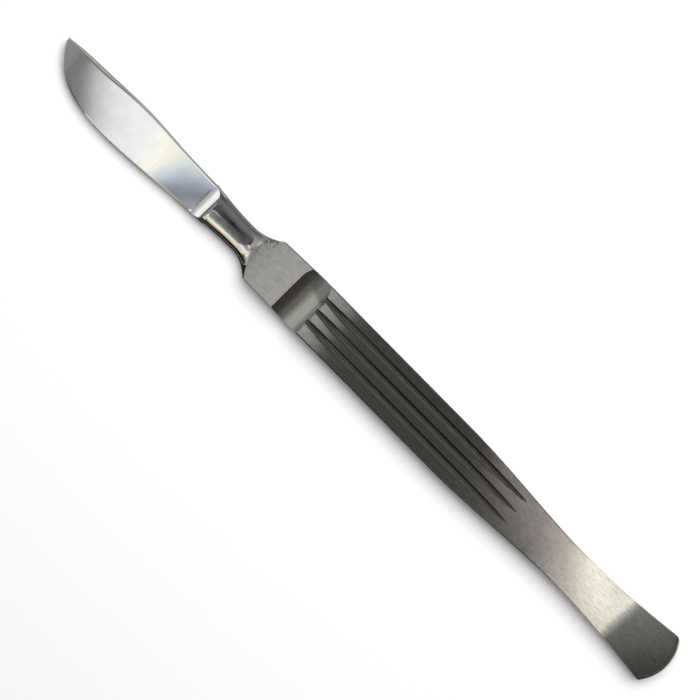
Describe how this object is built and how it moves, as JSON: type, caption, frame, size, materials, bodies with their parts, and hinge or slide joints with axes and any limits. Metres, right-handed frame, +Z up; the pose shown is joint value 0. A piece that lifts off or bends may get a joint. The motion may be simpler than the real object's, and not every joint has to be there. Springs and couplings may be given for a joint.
{
  "type": "scalpel",
  "caption": "One-piece steel dissecting scalpel with a bellied blade, necked collar, thumb scoop, fluted grip, slim waist and flared flat butt.",
  "frame": {"origin": "Below the middle of the knife's box, on the plane that its lower face rests on.", "axes": "+X runs along the knife from the blade's tip to the butt, +Y points to the spine side, and +Z points up out of the upper face."},
  "size_m": [0.16, 0.0109, 0.0032],
  "materials": {
    "steel": "Ground and brushed stainless steel, with a polished neck and a finely honed edge."
  },
  "bodies": {
    "root": {"scalpel": "steel"}
  },
  "joints": []
}
